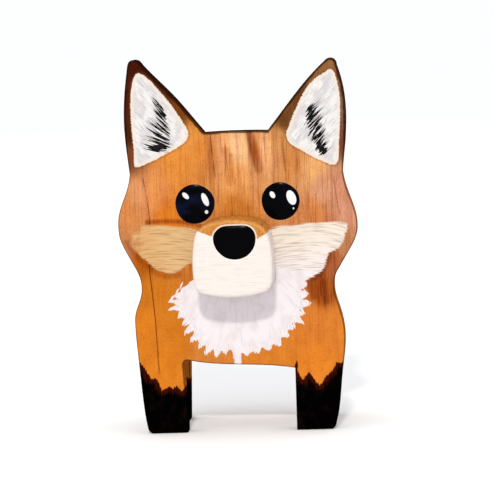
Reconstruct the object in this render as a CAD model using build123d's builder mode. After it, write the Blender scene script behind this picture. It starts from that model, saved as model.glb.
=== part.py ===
"""Fox-shaped display stand that holds a pair of eyeglasses on its muzzle.

The front board is the face, chest and front legs. A muzzle block is dowelled to its
front and carries the glasses. Behind it a spine block and a rear board with the hind
legs keep it upright. Millimetres: +X to the viewer's right, +Y to the back, +Z up.
The origin is on the ground, under the middle of the whole stand.
"""
import os

from build123d import *

# Depths from front to back
MUZZLE_DEPTH = 22.0
BOARD_THICKNESS = 10.0
SPINE_DEPTH = 25.0
TOTAL_DEPTH = MUZZLE_DEPTH + 2 * BOARD_THICKNESS + SPINE_DEPTH

# Eased edges of the sawn pieces
BOARD_EDGE_RADIUS = 0.8
MUZZLE_EDGE_RADIUS = 1.5
SPINE_EDGE_RADIUS = 1.0

# Front board: the named points of the fox's outline, as (across, up)
LEFT_FOOT_OUTER = (-38.5, 0)
LEFT_FOOT_INNER = (-22.9, 0)
RIGHT_FOOT_INNER = (21.0, 0)
RIGHT_FOOT_OUTER = (36.2, 0)
LEFT_GROIN = (-24.0, 29.8)
RIGHT_GROIN = (21.1, 25.0)
LEFT_HIP = (-42.5, 45.5)
RIGHT_HIP = (41.5, 37.0)
LEFT_WAIST = (-39.3, 58.8)
RIGHT_WAIST = (37.8, 57.5)
LEFT_CHEEK = (-47.75, 84.0)
RIGHT_CHEEK = (47.75, 81.0)
LEFT_TEMPLE = (-42.3, 104.4)
RIGHT_TEMPLE = (42.6, 103.0)
LEFT_EAR_SIDE = (-43.8, 124.5)
RIGHT_EAR_SIDE = (44.6, 126.0)
LEFT_EAR_TIP = ((-42.0, 145.0), (-39.1, 150.0), (-35.6, 147.3))
RIGHT_EAR_TIP = ((36.9, 147.1), (39.4, 148.1), (41.5, 145.4))
LEFT_EAR_ROOT = (-12.0, 120.2)
RIGHT_EAR_ROOT = (13.3, 120.2)
FOOT_RADIUS = 2.4
GROIN_RADIUS = 3.0
LEFT_GROIN_RADIUS = 1.8

# Muzzle block: a cushion shape with four bowed sides and rounded corners
MUZZLE_X = -0.95
MUZZLE_BOTTOM = 56.2
MUZZLE_TOP = 86.9
MUZZLE_HALF_WIDTH = 15.7
MUZZLE_WIDEST = 69.5
MUZZLE_BOTTOM_CORNER = (14.8, 58.7)
MUZZLE_TOP_CORNER = (13.5, 83.9)
MUZZLE_TOP_CORNER_RADIUS = 7.5
MUZZLE_BOTTOM_CORNER_RADIUS = 4.5

# Rear board: a rounded rump on two hind legs
RUMP_HALF_WIDTH = 36.5
RUMP_SHOULDER = 38.0
RUMP_TOP = 72.0
REAR_BELLY = 31.0
HIND_GROIN_HALF_WIDTH = 24.0
HIND_FOOT_INNER = 25.0
HIND_FOOT_OUTER = 34.5

# Spine block between the two boards
SPINE_WIDTH = 40.0
SPINE_HEIGHT = 22.0
SPINE_BOTTOM = 40.0

# Dowels, each glued into two blind holes
DOWEL_RADIUS = 3.0
DOWEL_CHAMFER = 0.6
HOLE_RADIUS = 3.05
HOLE_END_GAP = 0.5
DEPTH_IN_BOARD = 6.5
DEPTH_IN_MUZZLE = 12.0
DEPTH_IN_SPINE = 10.0
MUZZLE_DOWEL_SPACING = 16.0
SPINE_DOWEL_SPACING = 24.0

UP = (0, 1)
DOWN = (0, -1)

muzzle_front_y = -TOTAL_DEPTH / 2
board_front_y = muzzle_front_y + MUZZLE_DEPTH
board_back_y = board_front_y + BOARD_THICKNESS
rear_front_y = board_back_y + SPINE_DEPTH
rear_back_y = rear_front_y + BOARD_THICKNESS
muzzle_mid_z = (MUZZLE_BOTTOM + MUZZLE_TOP) / 2
spine_mid_z = SPINE_BOTTOM + SPINE_HEIGHT / 2


def upright(y):
    """The plane across the stand at depth y. It faces the front, and its own Y is up."""
    return Plane(origin=(0, y, 0), x_dir=(1, 0, 0), z_dir=(0, -1, 0))


def both_sides(middle_x, place):
    """A place given as (out from the middle, up), on the left side and on the right."""
    out, up = place
    return [(middle_x - out, up), (middle_x + out, up)]


def front_and_back_edges(board):
    """The edges round a board's two broad faces."""
    by_depth = board.edges().group_by(Axis.Y)
    return by_depth[0] + by_depth[-1]


muzzle_dowels = both_sides(MUZZLE_X, (MUZZLE_DOWEL_SPACING / 2, muzzle_mid_z))
spine_dowels = both_sides(0, (SPINE_DOWEL_SPACING / 2, spine_mid_z))

# Front board: the whole fox, sawn from one plank
with BuildPart() as front_board:
    with BuildSketch(upright(board_back_y)) as fox:
        with BuildLine():
            Spline(LEFT_FOOT_OUTER, (-40.6, 15.0), (-41.7, 30.0), LEFT_HIP, tangents=[(-0.24, 1), UP])
            Spline(LEFT_HIP, LEFT_WAIST, tangents=[UP, UP])
            Spline(LEFT_WAIST, (-42.4, 68.5), (-46.2, 76.0), LEFT_CHEEK, tangents=[UP, UP])
            Spline(LEFT_CHEEK, (-45.4, 94.0), LEFT_TEMPLE, tangents=[UP, (0.1, 1)])
            Spline(LEFT_TEMPLE, (-43.3, 114.4), LEFT_EAR_SIDE, tangents=[(-0.1, 1), UP])
            Spline(LEFT_EAR_SIDE, (-43.0, 138.0), LEFT_EAR_TIP[0], tangents=[UP, (0.16, 1)])
            Spline(LEFT_EAR_TIP[0], LEFT_EAR_TIP[1], tangents=[(0.16, 1), (1, 0)])
            Spline(LEFT_EAR_TIP[1], LEFT_EAR_TIP[2], tangents=[(1, 0), (0.66, -0.75)])
            Spline(LEFT_EAR_TIP[2], (-23.6, 134.6), LEFT_EAR_ROOT, tangents=[(0.66, -0.75), (0.64, -0.77)])
            Spline(LEFT_EAR_ROOT, (1.0, 120.5), RIGHT_EAR_ROOT)
            Spline(RIGHT_EAR_ROOT, (19.6, 128.0), (26.6, 136.6), RIGHT_EAR_TIP[0])
            ThreePointArc(*RIGHT_EAR_TIP)
            Spline(RIGHT_EAR_TIP[-1], (43.8, 136.5), RIGHT_EAR_SIDE, tangents=[(0.35, -1), DOWN])
            Spline(RIGHT_EAR_SIDE, (43.8, 113.0), RIGHT_TEMPLE, tangents=[DOWN, (-0.08, -1)])
            Spline(RIGHT_TEMPLE, (44.9, 93.5), RIGHT_CHEEK, tangents=[(0.1, -1), DOWN])
            Spline(RIGHT_CHEEK, (45.0, 72.8), (39.7, 64.2), RIGHT_WAIST, tangents=[DOWN, DOWN])
            Spline(RIGHT_WAIST, (39.4, 49.5), RIGHT_HIP, tangents=[DOWN, DOWN])
            Spline(RIGHT_HIP, (39.9, 23.0), RIGHT_FOOT_OUTER, tangents=[DOWN, (-0.36, -1)])
            Line(RIGHT_FOOT_OUTER, RIGHT_FOOT_INNER)
            Line(RIGHT_FOOT_INNER, RIGHT_GROIN)
            Spline(RIGHT_GROIN, (8.0, 26.5), (-6.0, 27.2), LEFT_GROIN)
            Spline(LEFT_GROIN, (-23.5, 20.0), (-22.8, 7.0), LEFT_FOOT_INNER)
            Line(LEFT_FOOT_INNER, LEFT_FOOT_OUTER)
        make_face()
        feet = fox.vertices().group_by(Axis.Y)[0].sort_by(Axis.X)
        fillet([feet[0], feet[-1]], radius=FOOT_RADIUS)
        fillet(fox.vertices().sort_by_distance(LEFT_GROIN)[0], radius=LEFT_GROIN_RADIUS)
    extrude(amount=BOARD_THICKNESS)
    fillet(front_and_back_edges(front_board), radius=BOARD_EDGE_RADIUS)
    with BuildSketch(upright(board_front_y)):
        with Locations(*muzzle_dowels):
            Circle(HOLE_RADIUS)
    extrude(amount=-DEPTH_IN_BOARD - HOLE_END_GAP, mode=Mode.SUBTRACT)
    with BuildSketch(upright(board_back_y)):
        with Locations(*spine_dowels):
            Circle(HOLE_RADIUS)
    extrude(amount=DEPTH_IN_BOARD + HOLE_END_GAP, mode=Mode.SUBTRACT)
front_board.part.label = "front_board"

# Muzzle block: its top is the rest for the bridge of the glasses
bottom_left, bottom_right = both_sides(MUZZLE_X, MUZZLE_BOTTOM_CORNER)
top_left, top_right = both_sides(MUZZLE_X, MUZZLE_TOP_CORNER)

with BuildPart() as muzzle_block:
    with BuildSketch(upright(board_front_y)) as cushion:
        with BuildLine():
            ThreePointArc(bottom_left, (MUZZLE_X, MUZZLE_BOTTOM), bottom_right)
            ThreePointArc(bottom_right, (MUZZLE_X + MUZZLE_HALF_WIDTH, MUZZLE_WIDEST), top_right)
            ThreePointArc(top_right, (MUZZLE_X, MUZZLE_TOP), top_left)
            ThreePointArc(top_left, (MUZZLE_X - MUZZLE_HALF_WIDTH, MUZZLE_WIDEST), bottom_left)
        make_face()
        fillet(cushion.vertices().group_by(Axis.Y)[-1], radius=MUZZLE_TOP_CORNER_RADIUS)
        fillet(cushion.vertices().group_by(Axis.Y)[0], radius=MUZZLE_BOTTOM_CORNER_RADIUS)
    extrude(amount=MUZZLE_DEPTH)
    fillet(muzzle_block.faces().sort_by(Axis.Y)[0].edges(), radius=MUZZLE_EDGE_RADIUS)
    with BuildSketch(upright(board_front_y)):
        with Locations(*muzzle_dowels):
            Circle(HOLE_RADIUS)
    extrude(amount=DEPTH_IN_MUZZLE + HOLE_END_GAP, mode=Mode.SUBTRACT)
muzzle_block.part.label = "muzzle_block"

# Spine block: it ties the two boards together below the folded glasses
with BuildPart() as spine_block:
    with BuildSketch(upright(rear_front_y)):
        with Locations((0, spine_mid_z)):
            Rectangle(SPINE_WIDTH, SPINE_HEIGHT)
    extrude(amount=SPINE_DEPTH)
    fillet(spine_block.edges().filter_by(Axis.Y), radius=SPINE_EDGE_RADIUS)
    for depth, into_wood in ((rear_front_y, DEPTH_IN_SPINE), (board_back_y, -DEPTH_IN_SPINE)):
        end_gap = HOLE_END_GAP if into_wood > 0 else -HOLE_END_GAP
        with BuildSketch(upright(depth)):
            with Locations(*spine_dowels):
                Circle(HOLE_RADIUS)
        extrude(amount=into_wood + end_gap, mode=Mode.SUBTRACT)
spine_block.part.label = "spine_block"

# Rear board: a rump arch on two hind legs
with BuildPart() as rear_board:
    with BuildSketch(upright(rear_back_y)) as rump:
        with BuildLine():
            Spline(
                (-RUMP_HALF_WIDTH, RUMP_SHOULDER),
                (0, RUMP_TOP),
                (RUMP_HALF_WIDTH, RUMP_SHOULDER),
                tangents=[UP, DOWN],
            )
            right_leg = Polyline(
                (RUMP_HALF_WIDTH, RUMP_SHOULDER),
                (HIND_FOOT_OUTER, 0),
                (HIND_FOOT_INNER, 0),
                (HIND_GROIN_HALF_WIDTH, REAR_BELLY),
                (0, REAR_BELLY),
            )
            mirror(right_leg, about=Plane.YZ)
        make_face()
        feet = rump.vertices().group_by(Axis.Y)[0].sort_by(Axis.X)
        fillet([feet[0], feet[-1]], radius=FOOT_RADIUS)
        groins = rump.vertices().filter_by(lambda v: abs(v.Y - REAR_BELLY) < 0.1 and abs(v.X) > 1)
        fillet(groins, radius=GROIN_RADIUS)
    extrude(amount=BOARD_THICKNESS)
    fillet(front_and_back_edges(rear_board), radius=BOARD_EDGE_RADIUS)
    with BuildSketch(upright(rear_front_y)):
        with Locations(*spine_dowels):
            Circle(HOLE_RADIUS)
    extrude(amount=-DEPTH_IN_BOARD - HOLE_END_GAP, mode=Mode.SUBTRACT)
rear_board.part.label = "rear_board"

pieces = [front_board.part, muzzle_block.part, spine_block.part, rear_board.part]

# Dowels: joint name, centres, depth of the dowel's front end, depth of its back end
dowel_joints = (
    ("muzzle_dowel", muzzle_dowels, board_front_y - DEPTH_IN_MUZZLE, board_front_y + DEPTH_IN_BOARD),
    ("front_spine_dowel", spine_dowels, board_back_y - DEPTH_IN_BOARD, board_back_y + DEPTH_IN_SPINE),
    ("rear_spine_dowel", spine_dowels, rear_front_y - DEPTH_IN_SPINE, rear_front_y + DEPTH_IN_BOARD),
)
for joint, centres, front_y, back_y in dowel_joints:
    for side, centre in zip(("left", "right"), centres):
        with BuildPart() as dowel:
            with BuildSketch(upright(back_y)):
                with Locations(centre):
                    Circle(DOWEL_RADIUS)
            extrude(amount=back_y - front_y)
            chamfer(dowel.edges().filter_by(GeomType.CIRCLE), length=DOWEL_CHAMFER)
        dowel.part.label = f"{joint}_{side}"
        pieces.append(dowel.part)

os.makedirs("parts", exist_ok=True)
for piece in pieces:
    export_step(piece, f"parts/{piece.label}.step")
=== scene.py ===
"""Looks of the painted fox stand that holds a pair of eyeglasses.

The sawn boards and the muzzle are rebuilt over their CAD outlines with finer meshes that
carry the painting as vertex attributes. Lengths are written in millimetres and places on
the front as (across, up). Meshes are scaled to metres when they are made.
"""

import math
import random

import bpy
import numpy as np
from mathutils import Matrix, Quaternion, Vector
from mathutils.geometry import delaunay_2d_cdt


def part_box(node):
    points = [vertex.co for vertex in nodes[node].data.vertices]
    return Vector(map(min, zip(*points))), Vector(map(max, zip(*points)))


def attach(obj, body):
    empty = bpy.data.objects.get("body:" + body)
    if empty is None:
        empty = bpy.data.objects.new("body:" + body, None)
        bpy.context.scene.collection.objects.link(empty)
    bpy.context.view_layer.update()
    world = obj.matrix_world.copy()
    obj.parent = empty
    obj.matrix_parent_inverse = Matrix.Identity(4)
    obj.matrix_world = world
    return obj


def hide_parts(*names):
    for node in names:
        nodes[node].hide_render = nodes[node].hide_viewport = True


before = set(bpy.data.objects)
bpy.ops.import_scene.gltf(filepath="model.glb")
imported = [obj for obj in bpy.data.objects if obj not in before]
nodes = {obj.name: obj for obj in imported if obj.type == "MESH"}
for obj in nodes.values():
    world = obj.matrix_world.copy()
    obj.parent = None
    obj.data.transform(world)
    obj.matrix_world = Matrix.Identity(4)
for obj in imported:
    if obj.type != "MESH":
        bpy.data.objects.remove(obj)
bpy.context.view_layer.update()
random.seed(7)

MM = 0.001
PAINT_GAIN = 0.707
EDGE_RADIUS = 0.8
MUZZLE_EDGE_RADIUS = 1.5

# Spacing of the mesh points on the painted faces and along the outlines
FRONT_SPACING = 0.55
REAR_SPACING = 0.9
MUZZLE_SPACING = 0.4
OUTLINE_SPACING = 0.55

# Sides of a board
FRONT, WALL, BACK = 0, 1, 2

# Distances for the places that have no such mark: from a line, and into a patch of paint
FAR = 9.0
OUTSIDE = -9.0


# ---------------------------------------------------------------- camera and light

CAMERA_AIM = (3.4, -11.5, 74.3)
CAMERA_DISTANCE = 1100
CAMERA_AZIMUTH = 4.0
CAMERA_ELEVATION = 4.8
CAMERA_ROLL = -2.1
CAMERA_LENS = 201.5
ROOM_COLOUR = (0.965, 0.977, 1, 1)
ROOM_STRENGTH = 1.02
SUN_COLOUR = (1, 0.96, 0.88)
SUN_STRENGTH = 1.6
SUN_WIDTH = 4
SUN_ELEVATION = 31

azimuth = math.radians(CAMERA_AZIMUTH)
elevation = math.radians(CAMERA_ELEVATION)
level = math.cos(elevation)
to_camera = Vector((math.sin(azimuth) * level, -math.cos(azimuth) * level, math.sin(elevation)))
camera = bpy.data.objects.new("camera", bpy.data.cameras.new("camera"))
camera.data.lens = CAMERA_LENS
camera.location = (Vector(CAMERA_AIM) + to_camera * CAMERA_DISTANCE) * MM
camera.rotation_mode = "QUATERNION"
roll = Quaternion((0, 0, 1), math.radians(CAMERA_ROLL))
camera.rotation_quaternion = (-to_camera).to_track_quat("-Z", "Y") @ roll
bpy.context.scene.collection.objects.link(camera)
bpy.context.scene.camera = camera
bpy.context.scene.view_settings.view_transform = "Standard"

world = bpy.data.worlds.new("soft_white_room")
world.use_nodes = True
world.node_tree.nodes["Background"].inputs["Color"].default_value = ROOM_COLOUR
world.node_tree.nodes["Background"].inputs["Strength"].default_value = ROOM_STRENGTH
bpy.context.scene.world = world

key = bpy.data.objects.new("key_light", bpy.data.lights.new("key_light", "SUN"))
key.data.energy = SUN_STRENGTH
key.data.color = SUN_COLOUR
key.data.angle = math.radians(SUN_WIDTH)
key.rotation_euler = (math.radians(90 - SUN_ELEVATION), 0, 0)
bpy.context.scene.collection.objects.link(key)


# ---------------------------------------------------------------- outlines and distances


def silhouette(node, depth):
    """The closed outline of a CAD board at a depth, as (x, z) corners, anticlockwise."""
    mesh = nodes[node].data
    corners = [tuple(round(v / MM, 3) for v in vertex.co) for vertex in mesh.vertices]
    neighbours = {}
    for edge in mesh.edges:
        a, b = (corners[i] for i in edge.vertices)
        if a != b and max(abs(a[1] - depth), abs(b[1] - depth)) < 0.005:
            neighbours.setdefault(a[::2], set()).add(b[::2])
            neighbours.setdefault(b[::2], set()).add(a[::2])
    here, last, outline = min(neighbours), None, []
    while here not in outline:
        outline.append(here)
        here, last = next(p for p in neighbours[here] if p != last), here
    outline = np.array(outline)
    return outline if area(outline) > 0 else outline[::-1]


def area(outline):
    """Signed area of a closed outline, positive when it runs anticlockwise."""
    x, z = outline.T
    return 0.5 * np.sum(x * np.roll(z, -1) - z * np.roll(x, -1))


def resampled(outline, spacing):
    """The closed outline with its long sides divided."""
    points = []
    for a, b in zip(outline, np.roll(outline, -1, axis=0)):
        parts = max(1, round(float(np.hypot(*(b - a))) / spacing))
        points += [a + (b - a) * i / parts for i in range(parts)]
    return np.array(points)


def curve(points, closed=True, parts=8):
    """A smooth line through given points (Catmull-Rom)."""
    p = np.array(points, float)
    if closed:
        before, after, beyond = np.roll(p, 1, 0), np.roll(p, -1, 0), np.roll(p, -2, 0)
    else:
        p = np.vstack([2 * p[0] - p[1], p, 2 * p[-1] - p[-2]])
        before, p, after, beyond = p[:-3], p[1:-2], p[2:-1], p[3:]
    line = []
    for a, b, c, d in zip(before, p, after, beyond):
        for t in np.arange(parts) / parts:
            square = 2 * a - 5 * b + 4 * c - d
            cube = 3 * b - a - 3 * c + d
            line.append(0.5 * (2 * b + (c - a) * t + square * t**2 + cube * t**3))
    return np.array(line if closed else line + [after[-1]])


def depth_inside(points, outline):
    """Distance from each point to a closed outline, positive inside it."""
    nearest = np.full(len(points), np.inf)
    inside = np.zeros(len(points), bool)
    for a, b in zip(outline, np.roll(outline, -1, axis=0)):
        side, reach = b - a, points - a
        along = np.clip(reach @ side / max(side @ side, 1e-12), 0, 1)
        nearest = np.minimum(nearest, np.hypot(*(reach - along[:, None] * side).T))
        if a[1] != b[1]:
            crosses = (a[1] > points[:, 1]) != (b[1] > points[:, 1])
            inside ^= crosses & (points[:, 0] < a[0] + (points[:, 1] - a[1]) * side[0] / side[1])
    return np.where(inside, nearest, -nearest)


def inward(outline):
    """Unit vectors that point into an anticlockwise outline at its corners."""
    run = np.roll(outline, -1, axis=0) - np.roll(outline, 1, axis=0)
    normal = np.stack([-run[:, 1], run[:, 0]], axis=1)
    return normal / np.hypot(*normal.T)[:, None]


# ---------------------------------------------------------------- meshes


def piece(name, points, faces, material, attributes=()):
    """A mesh object from points in mm, riding on the stand, with its painting attributes."""
    mesh = bpy.data.meshes.new(name)
    mesh.from_pydata((np.asarray(points) * MM).tolist(), [], faces)
    mesh.polygons.foreach_set("use_smooth", [True] * len(mesh.polygons))
    for key, values in dict(attributes).items():
        values = np.asarray(values, float)
        if values.ndim == 1:
            mesh.attributes.new(key, "FLOAT", "POINT").data.foreach_set("value", values)
        elif values.shape[1] == 4:
            mesh.attributes.new(key, "FLOAT_COLOR", "POINT").data.foreach_set("color", values.ravel())
        else:
            mesh.attributes.new(key, "FLOAT_VECTOR", "POINT").data.foreach_set("vector", values.ravel())
    mesh.materials.append(material)
    obj = bpy.data.objects.new(name, mesh)
    bpy.context.scene.collection.objects.link(obj)
    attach(obj, "root")
    return obj


def cap(outline, radius, spacing):
    """A fine triangle mesh over an outline: its points, faces and how deep each point lies
    behind the flat face, rounded off at the outline. The outline's points come first."""
    points = [outline]
    for angle in (22.5, 45, 67.5, 90) if radius else ():
        inset = radius * (1 - math.cos(math.radians(angle)))
        ring = outline + inset * inward(outline)
        points.append(ring[depth_inside(ring, outline) > 0.97 * inset])
    low, high = outline.min(0), outline.max(0)
    rows = np.arange(low[1], high[1], spacing * 0.866)
    columns = np.arange(low[0], high[0], spacing)
    grid = np.stack(np.meshgrid(columns, rows), axis=2)
    grid[1::2, :, 0] += spacing / 2
    grid = grid.reshape(-1, 2)
    points.append(grid[depth_inside(grid, outline) > radius + 0.4 * spacing])
    points = np.vstack(points)
    count = len(outline)
    edges = [(i, (i + 1) % count) for i in range(count)]
    _, _, faces, origin, _, _ = delaunay_2d_cdt([Vector(p) for p in points], edges, [], 1, 1e-5)
    origin = [first[0] for first in origin]
    faces = [[origin[i] for i in face] for face in faces]
    depth = np.zeros(len(points))
    if radius:
        inset = np.clip(radius - np.maximum(depth_inside(points, outline), 0), 0, radius)
        inset[:count] = radius
        depth = radius - np.sqrt(radius**2 - inset**2)
    return points, faces, depth


def plank(node, front_radius, back_radius, spacing):
    """A sawn board over its CAD outline: its points, faces, each point's distance from the
    nearest edge of the board, and the side it is on (0 front, 1 sawn edge, 2 back)."""
    low, high = (Vector(corner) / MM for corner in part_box(node))
    outline = resampled(silhouette(node, low.y + front_radius), OUTLINE_SPACING)
    count = len(outline)
    front, front_faces, front_depth = cap(outline, front_radius, spacing)
    rear, rear_faces, rear_depth = cap(outline, back_radius, 2.2 * spacing)
    wall = np.linspace(low.y + front_radius, high.y - back_radius, 9)
    flat = [front, *[outline] * (len(wall) - 2), rear]
    depth = [low.y + front_depth, *[np.full(count, y) for y in wall[1:-1]], high.y - rear_depth]
    side = [np.full(len(front), FRONT)]
    side += [np.full(count, WALL)] * (len(wall) - 2)
    side += [np.full(len(rear), BACK)]
    starts = np.cumsum([0] + [len(p) for p in flat])
    faces = [list(face) for face in front_faces]
    faces += [[int(i + starts[-2]) for i in reversed(face)] for face in rear_faces]
    for near, far in zip(starts[:-2], starts[1:-1]):
        for i in range(count):
            j = (i + 1) % count
            faces.append([int(near + i), int(far + i), int(far + j), int(near + j)])
    flat, depth, side = np.vstack(flat), np.concatenate(depth), np.concatenate(side)
    points = np.stack([flat[:, 0], depth, flat[:, 1]], axis=1)
    inset = np.maximum(depth_inside(flat, outline), 0)
    on_wall = side == WALL
    inset[on_wall] = np.minimum(depth - wall[0], wall[-1] - depth)[on_wall]
    return points, faces, inset, side


# ---------------------------------------------------------------- finishes


def colour(code):
    """Linear colour of a paint, from the #RRGGBB it looks like under this light."""
    srgb = [int(code[i : i + 2], 16) / 255 for i in (1, 3, 5)]
    linear = [((c + 0.055) / 1.055) ** 2.4 if c > 0.04 else c / 12.92 for c in srgb]
    return [PAINT_GAIN * c for c in linear] + [1.0]


class Finish:
    """A procedural material. Its methods add nodes and return the sockets they make."""

    def __init__(self, name, specular, roughness=0.5):
        self.material = bpy.data.materials.new(name)
        self.material.use_nodes = True
        self.tree = self.material.node_tree
        self.shader = self.tree.nodes["Principled BSDF"]
        self.shader.inputs["Roughness"].default_value = roughness
        self.shader.inputs["Specular IOR Level"].default_value = specular
        self.place = self.add("TexCoord").outputs["Object"]

    def add(self, kind, inputs=(), **settings):
        node = self.tree.nodes.new("ShaderNode" + kind)
        for name, value in settings.items():
            setattr(node, name, value)
        for key, value in dict(inputs).items():
            self.feed(node.inputs[key], value)
        return node

    def feed(self, socket, value):
        if isinstance(value, bpy.types.NodeSocket):
            self.tree.links.new(value, socket)
        else:
            socket.default_value = colour(value) if isinstance(value, str) else value

    def attribute(self, name, output="Fac"):
        return self.add("Attribute", attribute_name=name).outputs[output]

    def noise(self, size, seed, detail, warp=0.0, at=None):
        """Noise with blobs of about size (across, deep, up) mm."""
        scale = [1 / (s * MM) for s in size]
        inputs = {"Vector": at or self.place, "Location": (seed, seed, seed), "Scale": scale}
        place = self.add("Mapping", inputs).outputs[0]
        inputs = {"Vector": place, "Scale": 1.0, "Detail": detail, "Distortion": warp}
        return self.add("TexNoise", inputs).outputs["Fac"]

    def calc(self, operation, *values):
        return self.add("Math", enumerate(values), operation=operation).outputs[0]

    def product(self, *values):
        result = values[0]
        for value in values[1:]:
            result = self.calc("MULTIPLY", result, value)
        return result

    def step(self, value, low, high):
        """0 at low, 1 at high, eased between them."""
        inputs = {"Value": value, "From Min": low, "From Max": high}
        return self.add("MapRange", inputs, interpolation_type="SMOOTHSTEP").outputs[0]

    def mix(self, amount, under, over, blend="MIX"):
        inputs = {0: amount, 6: under, 7: over}
        return self.add("Mix", inputs, data_type="RGBA", blend_type=blend).outputs[2]

    def finish(self, base, height=None, depth=0.05, roughness=None):
        """Sets the colour, the relief (height 0 to 1 over depth mm) and the roughness."""
        self.feed(self.shader.inputs["Base Color"], base)
        if height is not None:
            bump = self.add("Bump", {"Height": height, "Distance": depth * MM, "Strength": 1.0})
            self.feed(self.shader.inputs["Normal"], bump.outputs[0])
        if roughness is not None:
            self.feed(self.shader.inputs["Roughness"], roughness)
        return self.material


# The wash is painted a little lighter than it has to look, because the dark grain lies over it
GRAIN_LIFT = 1.09

# The heights between which the wood turns from orange to the dark ears
EAR_DARK_FROM = 104
EAR_DARK_FULL = 118

# Stains of the sides and the back
PLAIN_STAIN = "#CF8236"
EAR_BACK = "#4A2211"
EAR_BACK_BOTTOM = 119
SAWN_SIDE = "#C47836"
EAR_SIDE = "#2E140A"

# The burnt rim is wider and darker on the ears: where that starts, and where it is full
RIM_WIDENS = 104
RIM_DARKENS = 100
RIM_FULL = 122


def board_paint(name, painted):
    """Thin orange wash over wood grain, burnt edges and black socks, and on the front board
    the white ears, cheeks and bib."""
    f = Finish(name, specular=0.0)
    wash = f.attribute("wash", "Color")
    grain = f.attribute("grain")
    inset = f.attribute("inset")
    sock = f.attribute("sock")
    fibre = f.noise((0.4, 0.4, 18), 3.1, 4.0)
    pore = f.noise((0.25, 0.25, 5), 8.4, 2.0)
    figure = f.noise((3.2, 3.2, 70), 1.7, 3.0, 0.3)
    mottle = f.noise((4, 4, 5), 5.2, 4.0)
    speck = f.noise((0.5, 0.5, 0.8), 21.0, 2.0)
    base = f.mix(f.product(grain, f.step(figure, 0.50, 0.72), 0.42), wash, "#C8733A", "MULTIPLY")
    base = f.mix(f.product(grain, f.step(figure, 0.46, 0.30), 0.5), base, "#FFD9A0", "SOFT_LIGHT")
    base = f.mix(f.product(grain, f.step(fibre, 0.48, 0.68), 0.55), base, "#B5622C", "MULTIPLY")
    base = f.mix(f.product(grain, f.step(pore, 0.58, 0.70), 0.45), base, "#8A4A22", "MULTIPLY")
    base = f.mix(f.product(f.step(mottle, 0.35, 0.75), 0.22), base, "#D9904E", "MULTIPLY")
    base = f.mix(f.product(f.step(speck, 0.50, 0.70), 0.3), base, "#C98A50", "MULTIPLY")
    # Darker passages of the wash; the bands along the lower edges of the cheeks are painted shadow
    shade = f.product(f.attribute("shade"), f.calc("MULTIPLY_ADD", f.step(fibre, 0.3, 0.6), 0.4, 0.6))
    base = f.mix(shade, base, "#B8642A", "MULTIPLY")
    line = f.product(
        f.attribute("line_strength"),
        f.step(f.calc("ABSOLUTE", f.attribute("line_offset")), 0.36, 0.08),
        f.step(f.noise((1, 1, 7), 2.0, 2.0), 0.25, 0.5),
    )
    base = f.mix(line, base, "#5A1C08")
    brush = f.noise((0.5, 0.5, 5), 15.0, 3.0)
    ear_back = f.calc("ADD", f.attribute("ear_back"), f.calc("MULTIPLY_ADD", brush, 16.0, -8.0))
    ear_back = f.product(f.step(ear_back, -1.5, 1.5), f.calc("MULTIPLY_ADD", fibre, -0.3, 1.0))
    base = f.mix(ear_back, base, EAR_BACK)
    height = f.product(fibre, 0.5)
    height = f.calc("SUBTRACT", height, f.product(line, 0.5))

    if painted:
        ragged = f.noise((0.6, 0.6, 0.6), 4.0, 3.0)
        # Ears
        streak = f.noise((0.5, 0.5, 4), 6.6, 3.0, 0.0, f.attribute("ear_flow", "Vector"))
        ear = f.attribute("ear")
        ear_edge = f.calc("ADD", ear, f.calc("MULTIPLY_ADD", ragged, 1.2, -0.6))
        ear_white = f.mix(f.step(streak, 0.46, 0.70), "#F6F3F1", "#CFCDD2")
        ear_white = f.mix(f.product(f.step(mottle, 0.42, 0.62), 0.8), ear_white, "#DAD4D6")
        ear_white = f.mix(f.step(ear, 2.2, 0.2), ear_white, "#F6E8DA")
        ear_rim = f.step(f.calc("ABSOLUTE", f.calc("ADD", ear_edge, 0.25)), 0.5, 0.1)
        base = f.mix(f.product(ear_rim, 0.35), base, "#6B3A1C")
        ear_mask = f.step(ear_edge, -0.12, 0.3)
        base = f.mix(ear_mask, base, ear_white)
        # Cheeks
        flow = f.attribute("cheek_flow", "Vector")
        cheek_streak = f.noise((9, 1, 0.55), 9.9, 3.0, 0.0, flow)
        cheek = f.calc("ADD", f.attribute("cheek"), f.calc("MULTIPLY_ADD", cheek_streak, 3.0, -1.5))
        cheek_paint = f.attribute("cheek_colour", "Color")
        cheek_paint = f.mix(f.step(cheek_streak, 0.44, 0.74), cheek_paint, "#EFE4D4", "MULTIPLY")
        cover = f.calc("ADD", f.attribute("cheek_cover"), f.calc("MULTIPLY_ADD", mottle, 1.4, -0.7))
        cheek_mask = f.product(f.step(cheek, -0.2, 0.5), f.step(cover, 0.15, 0.6))
        base = f.mix(cheek_mask, base, cheek_paint)
        # Bib
        bib_streak = f.noise((0.6, 1, 7), 12.5, 3.0, 0.0, f.attribute("bib_flow", "Vector"))
        bib_edge = f.calc("ADD", f.product(ragged, 1.4), f.product(bib_streak, 2.4))
        bib = f.calc("ADD", f.attribute("bib"), f.calc("ADD", bib_edge, -1.9))
        bib_mask = f.step(bib, -0.15, 0.25)
        bib_white = f.mix(f.step(bib_streak, 0.52, 0.76), "#FDF4F8", "#EDE6EC")
        bib_white = f.mix(f.product(f.step(mottle, 0.42, 0.66), 0.6), bib_white, "#EADFE2")
        base = f.mix(bib_mask, base, bib_white)
        white = f.calc("MAXIMUM", ear_mask, f.calc("MAXIMUM", cheek_mask, bib_mask))
        brushed = f.calc("ADD", f.calc("MAXIMUM", streak, bib_streak), 0.4)
        height = f.calc("ADD", height, f.product(white, brushed))

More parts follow.
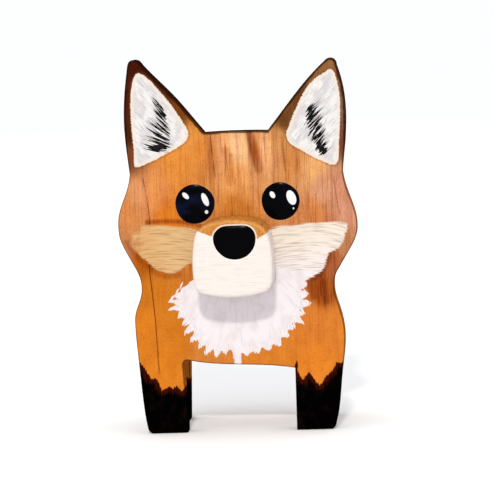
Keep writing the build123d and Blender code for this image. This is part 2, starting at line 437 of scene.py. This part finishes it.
    # Burnt rim and black socks
    up = f.add("SeparateXYZ", {0: f.place}).outputs["Z"]
    rim = f.calc("MULTIPLY_ADD", f.step(up, RIM_WIDENS * MM, RIM_FULL * MM), 0.55, 0.42)
    rim = f.calc("MULTIPLY", rim, f.calc("MULTIPLY_ADD", f.noise((3, 3, 3), 7.7, 2.0), 1.2, 0.4))
    burnt = f.step(f.calc("DIVIDE", inset, rim), 1.25, 0.55)
    darker = f.step(up, RIM_DARKENS * MM, RIM_FULL * MM)
    burnt = f.product(burnt, f.calc("MULTIPLY_ADD", darker, 0.22, 0.68))
    base = f.mix(burnt, base, "#2C1208")
    sock = f.calc("ADD", sock, f.calc("MULTIPLY_ADD", brush, 2.4, -1.2))
    base = f.mix(f.step(sock, -0.1, 0.25), base, "#3A0F06")
    black = f.step(f.calc("ADD", sock, f.calc("MULTIPLY_ADD", brush, 3.5, -3.4)), -0.6, 0.9)
    base = f.mix(black, base, f.mix(f.step(mottle, 0.5, 0.8), "#030202", "#150C0A"))
    roughness = f.calc("MULTIPLY_ADD", fibre, 0.25, 0.42)
    return f.finish(base, height, 0.07, roughness)


def muzzle_paint():
    """White brushed sides and front under an orange top, a pale halo round the nose and a painted
    highlight along the front edge.
    """
    f = Finish("muzzle_paint", specular=0.12)
    flow = f.noise((8, 8, 0.6), 2.2, 3.0)
    fine = f.noise((3, 3, 0.28), 6.1, 2.0)
    ragged = f.noise((0.8, 0.8, 0.8), 4.0, 3.0)
    white = f.mix(f.step(flow, 0.46, 0.76), "#FCF2EC", "#F0E0D7")
    white = f.mix(f.product(f.step(fine, 0.60, 0.74), 0.4), white, "#CDBFBA")
    fibre = f.noise((0.4, 14, 0.4), 3.0, 4.0)
    orange = f.mix(f.step(fibre, 0.42, 0.68), "#DE9540", "#B7661F")
    edge = f.calc("ADD", f.attribute("white"), f.calc("MULTIPLY_ADD", ragged, 0.8, -0.4))
    base = f.mix(f.step(edge, -0.15, 0.15), orange, white)
    halo = f.product(f.step(f.attribute("nose"), -0.62, -0.28), 0.7)
    base = f.mix(halo, base, "#FFF6EE")
    # Painted highlight: a pale line just inside the front edge, where the rounded edge catches the light
    base = f.mix(f.product(f.step(f.attribute("rim"), 0.8, 0.1), 0.35), base, "#F0B870", "LIGHTEN")
    height = f.calc("ADD", f.product(flow, 0.6), f.product(fine, 0.4))
    return f.finish(base, height, 0.06, f.calc("MULTIPLY_ADD", fine, 0.2, 0.4))


def bare_wood(name, light, dark, along):
    """Stained wood with its grain along one axis, which is x, y or z."""
    f = Finish(name, specular=0.25)
    size = [14 if axis == along else 0.4 for axis in "xyz"]
    wide = [90 if axis == along else 3 for axis in "xyz"]
    fibre = f.noise(size, 2.0, 4.0)
    figure = f.noise(wide, 6.0, 3.0, 0.5)
    base = f.mix(f.step(figure, 0.38, 0.66), light, dark)
    base = f.mix(f.product(f.step(fibre, 0.48, 0.72), 0.5), base, "#7A4420")
    return f.finish(base, fibre, 0.08, f.calc("MULTIPLY_ADD", fibre, 0.3, 0.45))


def plain_paint(name, main, tint, specular):
    """Brushed paint for separate strokes."""
    f = Finish(name, specular)
    streak = f.noise((1, 1, 1), 3.3, 3.0)
    return f.finish(f.mix(f.step(streak, 0.4, 0.7), main, tint), streak, 0.03)


def enamel():
    """Gloss black with painted white glints, clouded with navy where the tint attribute asks: a painted
    reflection.
    """
    f = Finish("gloss_black_enamel", specular=0.02, roughness=0.16)
    cloud = f.noise((5, 5, 5), 1.0, 2.0)
    # Navy clouds in the black: a painted reflection, as much as the tint attribute asks
    base = f.mix(f.product(f.step(cloud, 0.4, 0.7), f.attribute("tint")), "#040406", "#0B1430")
    glint = f.calc("ADD", f.attribute("glint"), f.calc("MULTIPLY_ADD", cloud, 0.2, -0.1))
    base = f.mix(f.step(glint, -0.06, 0.08), base, "#FFFFFF")
    return f.finish(base, cloud, 0.02)


fox = board_paint("fox_paint", True)
rump = board_paint("rump_paint", False)
white_paint = plain_paint("white_paint", "#FFF5F6", "#F3EBEE", specular=0.1)
black_paint = plain_paint("black_paint", "#0A0808", "#1E1A1C", specular=0.06)
gloss = enamel()


# ---------------------------------------------------------------- painted shapes

LEFT_EAR = curve([
    (-36.9, 144.8), (-33.3, 142.4), (-29.1, 137.6), (-25, 132.4), (-21.1, 126.4), (-18.2, 121),
    (-18.8, 117.6), (-22.2, 114.8), (-28.5, 111.6), (-34.1, 109), (-39.9, 107.5), (-40.3, 114.4),
    (-40.9, 124.1), (-40.9, 133), (-40, 140.4), (-38.6, 143.8),
])
RIGHT_EAR = curve([
    (38.9, 143.8), (36.8, 142.6), (32.2, 139.7), (28.4, 135.1), (25, 128.8), (21.9, 121.9),
    (20.7, 118.6), (22.1, 114.9), (27.2, 111.5), (33.1, 108.1), (40.3, 106), (41.8, 115.4),
    (42.5, 124.5), (42.5, 134), (40.9, 142),
])
LEFT_CHEEK = curve([
    (-47, 82.2), (-37.1, 84), (-26.7, 83.4), (-15, 80.8), (-12, 70), (-19.5, 68), (-23.6, 65.4),
    (-28, 64.3), (-32.8, 66), (-37.1, 69.7), (-42, 74.5),
])
RIGHT_CHEEK = curve([
    (12, 78), (15, 81.6), (21.3, 82.4), (33.4, 83.2), (43.4, 82.4), (42.8, 77.3), (40.2, 72.6),
    (36.2, 70.4), (34.9, 67), (33.4, 64), (29, 61), (20, 58), (12, 60),
])
BIB = curve([
    (-10, 64), (-15.5, 62.4), (-19.4, 61), (-21.2, 59.4), (-23.6, 58.4), (-23.8, 56.4),
    (-26.2, 55.6), (-25, 54), (-28.4, 53), (-25.2, 51.8), (-28.6, 49.8), (-24.2, 49.2), (-25, 46.6),
    (-22.4, 46.4), (-23.6, 42.8), (-20.6, 44.4), (-22.6, 39.8), (-19.2, 40.8), (-20.4, 36.6),
    (-17.2, 37.6), (-17.2, 34), (-14.2, 35), (-14.6, 31.2), (-11.6, 33.2), (-10.4, 30.4),
    (-8.4, 32.6), (-6.4, 31.4), (-5, 33), (-3.4, 31.8), (-3, 26), (-0.6, 26), (-0.2, 31.2),
    (2.2, 30.4), (4.2, 32.2), (6.4, 31.2), (8.4, 33.6), (11.4, 32.2), (12.6, 34.8), (15.6, 34),
    (16, 37), (18.8, 37.8), (18.4, 40.2), (21.6, 41), (20.8, 43.6), (25, 42.6), (23.6, 45.6),
    (26, 46.6), (23.4, 48.6), (28.6, 50.8), (24.8, 52), (27.6, 54.4), (25, 56), (27.4, 58.4),
    (26, 60.6), (28, 63), (10, 66),
], parts=3)
SOCKS = np.array([
    (-50, 29.5), (-41, 28.8), (-38.5, 25.5), (-37.1, 22.4), (-34.4, 22.1), (-32.6, 17.5),
    (-29.6, 19), (-28, 18.2), (-26.4, 19.4), (-24.7, 17), (-23.2, 18.8), (-22.5, 22), (-20, 24),
    (20, 24), (21.9, 27.8), (22.4, 22.7), (24, 20.3), (26.8, 23.4), (28.3, 21), (30.7, 17.9),
    (33, 21), (35.9, 23.6), (37.6, 27), (50, 26), (50, -9), (-50, -9),
])

# How the brush streaks run: leaning in the ears, bent in the cheeks, fanned out in the bib
EAR_STREAK_LEAN = 48
CHEEK_MIDDLES = (-30, 26)
CHEEK_STREAK_BEND = 0.008
FROM_CHEST = np.array((-1, 76))
BIB_STREAK_SPREAD = 18

# Long dark lines in the wood: points from top to bottom, and how dark they are
GRAIN_LINES = (
    (
        [(-37.1, 104), (-34.9, 86.6), (-35.6, 76), (-35.9, 68.2), (-34.9, 55), (-34.2, 44.9), (-33.4, 23)],
        0.8,
    ),
    ([(-9.6, 120.5), (-9, 112), (-8, 101)], 0.7),
    ([(-3.9, 117), (-3.3, 109), (-2.4, 101)], 0.35),
    ([(5.2, 121), (6.6, 113), (8.4, 104)], 0.4),
    ([(11.6, 121), (12.1, 113), (12.8, 104)], 0.4),
    ([(19, 119), (19.4, 111), (20, 103)], 0.35),
    ([(24.4, 112), (24.8, 107), (25.2, 103)], 0.3),
    ([(38.8, 102), (40, 92), (41.1, 84.6)], 0.45),
    ([(31.6, 58), (33.2, 53), (34.8, 47.4)], 0.35),
)

# Soft darker passages of the wash: points, half width and how dark they are. The bands along the lower
# edges of the cheeks are painted shadow under the cheeks.
SHADES = (
    ([(-36, 85.2), (-28, 85.4), (-20, 84.6), (-14, 82.8)], 0.9, 0.7),
    # Painted shadow under the left cheek
    ([(-44.5, 77.5), (-40.5, 71.5), (-36, 67.5), (-31, 63.8), (-24, 63.6)], 1.2, 0.4),
    ([(5.8, 121), (7.6, 113), (9.4, 105)], 1.7, 0.6),
    ([(-3.6, 113), (-3.2, 108), (-2.4, 100)], 1.4, 0.4),
    ([(-1.6, 111), (-1.4, 102)], 0.8, 0.5),
    ([(18.9, 118), (19.3, 112), (20, 104)], 0.7, 0.3),
    ([(28, 59), (29.4, 53)], 1.0, 0.5),
    ([(33.4, 59), (34.6, 51)], 1.2, 0.4),
    # Painted shadow under the right cheek
    ([(36.5, 70), (33.5, 64), (28, 60)], 1.3, 0.5),
)

# Colours of the wash over the wood, where each is seen, and how much grain shows there
WASH = (
    (-38.5, 148, "#47190C", 0.2), (-27, 139, "#4E2612", 0.3), (-21, 129, "#7A4216", 0.4),
    (-42.6, 133, "#551F0E", 0.3), (-43, 120, "#4A2412", 0.5), (-42, 111, "#824A30", 0.6),
    (-17, 117, "#E69748", 0.5), (-24, 108, "#E8943F", 0.5), (39.5, 146, "#9A6A40", 0.5),
    (32, 141, "#8C6038", 0.5), (27, 135, "#6B4020", 0.4), (19.5, 124, "#67401F", 0.5),
    (44.4, 130, "#8A6A55", 0.4), (44, 115, "#7A4A34", 0.5), (18, 117, "#DC9A5C", 0.8),
    (3.6, 113, "#FDCB94", 0.7), (-9, 111, "#CC8040", 0.8), (-14, 113, "#E8933F", 0.6),
    (-5, 112, "#F4AE74", 0.8), (0.5, 115, "#FAC692", 0.7), (7.5, 113, "#C06A28", 0.9),
    (12, 114, "#FDBE84", 0.8), (23, 109, "#DA9050", 0.8), (31, 105, "#F0B272", 0.7),
    (0, 103, "#F2A860", 0.9), (-40, 97, "#E49C66", 0.5), (-31, 97, "#E99856", 0.5),
    (-28, 88, "#E08028", 0.4), (-43, 89, "#DF9253", 0.5), (34, 97, "#DEA27C", 0.8),
    (42, 97, "#D69576", 0.6), (31, 87, "#D98A50", 0.8), (45, 86, "#DF9E7E", 0.5),
    (-45, 78, "#C9824E", 0.4), (-39, 68, "#B8621A", 0.4), (-36, 57, "#D07A22", 0.3),
    (43, 75, "#C88A5E", 0.6), (38, 67, "#B4673C", 0.8), (33, 56, "#A5521E", 0.9),
    (0, 88, "#D98838", 0.8), (0, 70, "#DE8834", 0.3), (-38, 44, "#DF8325", 0.15),
    (-29, 42, "#D67E24", 0.15), (-32, 26, "#E08426", 0.15), (-12, 29, "#D6853A", 0.15),
    (30, 44, "#DE8234", 0.35), (38, 42, "#E08634", 0.2), (30, 26, "#E7882C", 0.15),
    (12, 29, "#DD842E", 0.15),
)


def wash_at(places):
    """The wash's colour and grain strength at places on the front, blended between the spots."""
    spots = np.array([spot[:2] for spot in WASH])
    values = np.array([[*colour(code), grain] for _, _, code, grain in WASH])
    reach = (places[:, None] - spots) * (1, 0.6)
    nearness = 1 / (np.sum(reach**2, axis=2) + 3.0) ** 2
    values = nearness @ values / nearness.sum(axis=1)[:, None]
    return values[:, :4] * (GRAIN_LIFT, GRAIN_LIFT, GRAIN_LIFT, 1), values[:, 4]


def eased(value, low, high):
    """0 at low, 1 at high, eased between them."""
    t = np.clip((value - low) / (high - low), 0, 1)
    return t * t * (3 - 2 * t)


def blended(amount, under, over):
    """Under where amount is 0, over where it is 1, and a mixture between."""
    amount = np.asarray(amount)[:, None]
    return np.asarray(under) * (1 - amount) + np.asarray(over) * amount


def grain_lines(places):
    """Distance across to the nearest long grain line, and its strength, at each place."""
    offset, strength = np.full(len(places), FAR), np.zeros(len(places))
    for points, dark in GRAIN_LINES:
        line = curve(points, closed=False)[::-1]
        across = places[:, 0] - np.interp(places[:, 1], line[:, 1], line[:, 0])
        ends = eased(line[-1, 1] - places[:, 1], -0.5, 3) * eased(places[:, 1] - line[0, 1], -0.5, 4)
        nearer = np.abs(across) < np.abs(offset)
        offset = np.where(nearer, across, offset)
        strength = np.where(nearer, dark * ends * eased(np.abs(across), 1.6, 1.1), strength)
    return offset, strength


def shade_at(places):
    """How much darker the wash is at each place."""
    dark = np.zeros(len(places))
    for points, half_width, strength in SHADES:
        line = curve(points, closed=False, parts=16)
        away = np.min([np.hypot(*(places - p).T) for p in line], axis=0)
        dark = np.maximum(dark, strength * eased(away, 1.6 * half_width, 0.4 * half_width))
    return dark


PLAIN_GRAIN = 0.8
NO_EAR_BACK = -40.0


def board_attributes(points, inset, side):
    """The paint attributes that both boards share."""
    places = points[:, ::2]
    wash, grain = wash_at(places)
    darkening = eased(places[:, 1], EAR_DARK_FROM, EAR_DARK_FULL)
    side_stain = blended(darkening, colour(SAWN_SIDE), colour(EAR_SIDE))
    wash = blended(side == BACK, wash, colour(PLAIN_STAIN))
    wash = blended(side == WALL, wash, side_stain)
    grain = np.where(side == FRONT, grain, PLAIN_GRAIN)
    ear_back = np.where(side == BACK, places[:, 1] - EAR_BACK_BOTTOM, NO_EAR_BACK)
    sock = depth_inside(places, SOCKS)
    return {"wash": wash, "grain": grain, "inset": inset, "sock": sock, "ear_back": ear_back}


# Front board
points, faces, inset, side = plank("front_board", EDGE_RADIUS, EDGE_RADIUS, FRONT_SPACING)
places = points[:, ::2]
on_front = side == FRONT
attributes = board_attributes(points, inset, side)


def front_only(values, elsewhere=OUTSIDE):
    return np.where(on_front, values, elsewhere)


for mark, left, right in (("ear", LEFT_EAR, RIGHT_EAR), ("cheek", LEFT_CHEEK, RIGHT_CHEEK)):
    attributes[mark] = front_only(np.maximum(depth_inside(places, left), depth_inside(places, right)))
attributes["bib"] = front_only(depth_inside(places, BIB))
offset, strength = grain_lines(places)
attributes["line_offset"] = offset
attributes["line_strength"] = front_only(strength, 0.0)
attributes["shade"] = front_only(shade_at(places), 0.0)
x, z = places.T
leans = np.radians(np.where(x < 0, -EAR_STREAK_LEAN, EAR_STREAK_LEAN))
attributes["ear_flow"] = np.stack(
    [z * np.cos(leans) - x * np.sin(leans), 0 * x, x * np.cos(leans) + z * np.sin(leans)], axis=1
) * MM
middle = np.where(x < 0, *CHEEK_MIDDLES)
bent = z + CHEEK_STREAK_BEND * (x - middle) ** 2
attributes["cheek_flow"] = np.stack([x, 0 * x, bent], axis=1) * MM
reach = places - FROM_CHEST
spread = BIB_STREAK_SPREAD * np.arctan2(reach[:, 0], -reach[:, 1])
attributes["bib_flow"] = np.stack([spread, 0 * x, np.hypot(*reach.T)], axis=1) * MM
cream = blended(eased(x, -40, -24), colour("#E6B47A"), colour("#ECC28C"))
white = blended(eased(z, 78, 63), colour("#FDEFE1"), colour("#FFF5F6"))
attributes["cheek_colour"] = blended(x > 0, cream, white)
left_cover = 0.25 + 0.65 * eased(x, -44, -33)
right_cover = 1.0 - 0.5 * eased(x, 36, 44)
attributes["cheek_cover"] = np.where(x < 0, left_cover, right_cover)

front_board = piece("painted_front_board", points, faces, fox, attributes)
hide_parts("front_board")
front_y = float(points[:, 1].min())

# Rear board
points, faces, inset, side = plank("rear_board", EDGE_RADIUS, EDGE_RADIUS, REAR_SPACING)
attributes = board_attributes(points, inset, np.where(side == FRONT, BACK, side))
attributes["line_offset"] = np.full(len(points), FAR)
attributes["line_strength"] = np.zeros(len(points))
attributes["shade"] = np.zeros(len(points))
rear_board = piece("painted_rear_board", points, faces, rump, attributes)
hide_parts("rear_board")

# Muzzle
# How far in from the front edge the painted highlight line runs
MUZZLE_HIGHLIGHT_LINE = 0.9
NOSE = curve([
    (-5, 84.1), (0.5, 84.6), (6, 84.1), (8.6, 80.8), (8.1, 76), (5, 72.3), (0.4, 71), (-4.1, 72.2),
    (-7.5, 76), (-8.1, 80.8),
])
WHITE_MUZZLE = np.array([
    (-40, 84), (-17, 84), (-13.2, 82.4), (-8, 80.2), (0.5, 78), (9.3, 79), (13.9, 81.6), (16, 82.6),
    (40, 83), (40, 20), (-40, 20),
])
points, faces, inset, side = plank("muzzle_block", MUZZLE_EDGE_RADIUS, 0, MUZZLE_SPACING)
places = points[:, ::2]
attributes = {
    "white": depth_inside(places, WHITE_MUZZLE),
    "nose": np.where(side == FRONT, depth_inside(places, NOSE), OUTSIDE),
    # Distance from the painted highlight line on the front face, far away elsewhere
    "rim": np.abs(inset - MUZZLE_HIGHLIGHT_LINE) + np.where(side == FRONT, 0, FAR),
}
muzzle = piece("painted_muzzle_block", points, faces, muzzle_paint(), attributes)
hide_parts("muzzle_block")
muzzle_y = float(points[:, 1].min())


# ---------------------------------------------------------------- eyes, nose and brush strokes

EYE_HEIGHT = 0.85
NOSE_HEIGHT = 0.8
DOT_RINGS = 36

# How far the hidden side of thick paint lies behind the face that it is on
DOT_SUNK = 0.08
STROKE_SUNK = 0.05
STROKE_TIP_SUNK = 0.03
STROKE_HEIGHT = 0.1


def ellipse_depth(places, centre, length, width, lean):
    """Rough distance into an ellipse whose long axis leans by degrees from upright."""
    turn = math.radians(lean)
    reach = places - np.array(centre)
    along = reach @ np.array((math.sin(turn), math.cos(turn)))
    across = reach @ np.array((math.cos(turn), -math.sin(turn)))
    return (1 - np.hypot(along / (length / 2), across / (width / 2))) * width / 2


def enamel_dot(name, outline, surface, height, glints=(), tint=0.0):
    """A domed dot of thick gloss enamel on a flat face at depth surface."""
    centre = outline.mean(0)
    count = len(outline)
    scales = np.sin(np.linspace(math.pi / 2, 0, DOT_RINGS, endpoint=False))
    flat = [centre + (outline - centre) * s for s in scales] + [centre[None]]
    rise = [np.full(count, height * (1 - s**3) ** 0.8) for s in scales] + [np.array([height])]
    flat, rise = np.vstack(flat), np.concatenate(rise)
    depth = surface + DOT_SUNK - rise
    points = np.stack([flat[:, 0], depth, flat[:, 1]], axis=1)
    faces = [list(range(count))[::-1]]
    for ring in range(DOT_RINGS):
        for i in range(count):
            j = (i + 1) % count
            a, b = ring * count + i, ring * count + j
            if ring == DOT_RINGS - 1:
                faces.append([a, b, DOT_RINGS * count])
            else:
                faces.append([a, b, b + count, a + count])
    glint = np.full(len(flat), OUTSIDE)
    for glint_shape in glints:
        glint = np.maximum(glint, ellipse_depth(flat, *glint_shape))
    attributes = {"glint": glint, "tint": np.full(len(flat), tint)}
    return piece(name, points, faces, gloss, attributes)


def round_dot(centre, radius):
    """A circle that is a little uneven, as one painted by hand."""
    angles = np.linspace(0, 2 * math.pi, 96, endpoint=False)
    wobble = radius * (1 + 0.012 * np.sin(3 * angles + 1) + 0.006 * np.sin(5 * angles))
    return np.array(centre) + np.stack([wobble * np.cos(angles), wobble * np.sin(angles)], axis=1)


# Glints in the eyes: centre, length, width and lean
LEFT_GLINTS = (
    ((-20.2, 95.4), 3.4, 1.8, -45),
    ((-12.4, 93.6), 5.6, 2.3, -22),
    ((-12.0, 88.6), 1.5, 1.4, 0),
)
RIGHT_GLINTS = (
    ((14.5, 94.7), 3.0, 2.0, -30),
    ((22.0, 93.3), 6.0, 3.5, -20),
    ((22.7, 89.0), 0.8, 0.7, 0),
)
left_eye = round_dot((-16.6, 91.9), 8.0)
right_eye = round_dot((17.6, 92.0), 7.7)
# The left eye gets the most navy painted reflection, the right eye a little
enamel_dot("left_eye", left_eye, front_y, EYE_HEIGHT, LEFT_GLINTS, tint=1.0)
enamel_dot("right_eye", right_eye, front_y, EYE_HEIGHT, RIGHT_GLINTS, tint=0.2)
enamel_dot("nose", NOSE, muzzle_y, NOSE_HEIGHT)


class Strokes:
    """Tapered strokes of thick paint on a flat face, gathered into one mesh."""

    def __init__(self, surface):
        self.surface, self.points, self.faces = surface, [], []

    def add(self, start, end, width, bend, blunt, parts=7):
        """One stroke, widest near its start when blunt is small."""
        start, end = np.array(start, float), np.array(end, float)
        run = end - start
        across = np.array((-run[1], run[0]))
        length = float(np.hypot(*run))
        base = len(self.points)
        self.points.append((start[0], self.surface + STROKE_TIP_SUNK, start[1]))
        for i in range(1, parts):
            t = i / parts
            middle = start + run * t + across * bend * 4 * t * (1 - t)
            half = width / 2 * (math.sin(math.pi * t**blunt)) ** 0.75
            offset = across / length * half
            ridge = -2 * STROKE_HEIGHT * half / width
            section = ((middle - offset, STROKE_SUNK), (middle, ridge), (middle + offset, STROKE_SUNK))
            for place, depth in section:
                self.points.append((place[0], self.surface + depth, place[1]))
        self.points.append((end[0], self.surface + STROKE_TIP_SUNK, end[1]))
        tip = len(self.points) - 1
        for side, other in ((0, 1), (1, 2), (2, 0)):
            self.faces.append([base, base + 1 + other, base + 1 + side])
            for i in range(parts - 2):
                a = base + 1 + 3 * i
                self.faces.append([a + side, a + other, a + 3 + other, a + 3 + side])
            self.faces.append([tip - 3 + side, tip - 3 + other, tip])

    def make(self, name, material):
        return piece(name, self.points, self.faces, material)


def ear_hair(name, roots, tips, bold, thin):
    """Black hairs from a line of roots to a line of tips, both listed from the top down."""
    strokes = Strokes(front_y)
    roots, tips = curve(roots, closed=False), curve(tips, closed=False)
    for i in range(bold + thin):
        is_bold = i < bold
        t = ((i + random.random()) / bold) ** 0.8 if is_bold else random.random()
        index = int(t * (len(roots) - 1))
        root = roots[index] + np.array([random.uniform(-0.5, 0.5), random.uniform(-0.5, 0.5)])
        run = tips[index] - roots[index]
        start = random.uniform(0, 0.42) if is_bold else random.uniform(-0.1, 0.4)
        end = start + random.uniform(0.45, 0.7) if is_bold else random.uniform(0.8, 1.25)
        width = random.uniform(0.6, 1.2) if is_bold else random.uniform(0.2, 0.42)
        strokes.add(root + run * start, root + run * end, width, random.uniform(-0.05, 0.05), 0.6)
    return strokes.make(name, black_paint)


ear_hair(
    "left_ear_hair",
    [(-26.8, 128.8), (-25.6, 124), (-24.8, 118.2), (-25, 114.8), (-26, 112.4)],
    [(-32.6, 135.2), (-31.8, 131), (-33.8, 125), (-36, 119.4), (-36.8, 114)],
    bold=46,
    thin=40,
)
ear_hair(
    "right_ear_hair",
    [(28.2, 127.2), (28.3, 122.8), (29.2, 118), (30.8, 113.6), (32.2, 110.8), (34.5, 109.4)],
    [(33.6, 131.9), (35, 129), (36.4, 125.2), (36.4, 120.5), (37.2, 116), (39.2, 112.8)],
    bold=56,
    thin=36,
)

# The bib's fringe: strokes along its lower edge, except at the tail that hangs from it
FRINGE_SPACING = 1.6
FRINGE_TOP = 58
TAIL_X = -1.8
TAIL_HALF_WIDTH = 2.5
fringe = Strokes(front_y)
for place in resampled(BIB, FRINGE_SPACING):
    away = place - FROM_CHEST
    turn = math.atan2(away[1], away[0]) + math.radians(random.uniform(-30, 30))
    away = np.array((math.cos(turn), math.sin(turn)))
    reach_in, reach_out = random.uniform(2.0, 4.0), random.uniform(-0.6, 1.1)
    width, bend = random.uniform(0.6, 1.5), random.uniform(-0.1, 0.1)
    if place[1] < FRINGE_TOP and abs(place[0] - TAIL_X) > TAIL_HALF_WIDTH:
        fringe.add(place - away * reach_in, place + away * reach_out, width, bend, 0.8)
fringe.make("bib_fringe", white_paint)


# ---------------------------------------------------------------- wood that keeps its CAD mesh

spine_wood = bare_wood("stained_wood", "#C98A4C", "#A5622C", "x")
dowel_wood = bare_wood("dowel_wood", "#E2BE8C", "#C99A62", "y")
for name, node in nodes.items():
    if name == "spine_block":
        node.data.materials.clear()
        node.data.materials.append(spine_wood)
    elif "dowel" in name:
        node.data.materials.clear()
        node.data.materials.append(dowel_wood)


# ---------------------------------------------------------------- floor

FLOOR_HALF = 3000
FLOOR_GAP = 0.1
SQUARE = ((-1, -1), (1, -1), (1, 1), (-1, 1))
floor_finish = Finish("pale_floor", specular=0.1, roughness=0.9)
floor_tone = floor_finish.noise((200, 200, 200), 1.0, 2.0)
floor_finish.finish(floor_finish.mix(floor_tone, (0.93, 0.93, 0.93, 1), (0.95, 0.95, 0.95, 1)))
floor_mesh = bpy.data.meshes.new("floor")
corners = [(x * FLOOR_HALF * MM, y * FLOOR_HALF * MM, -FLOOR_GAP * MM) for x, y in SQUARE]
floor_mesh.from_pydata(corners, [], [(0, 1, 2, 3)])
floor_mesh.materials.append(floor_finish.material)
floor = bpy.data.objects.new("floor", floor_mesh)
bpy.context.scene.collection.objects.link(floor)
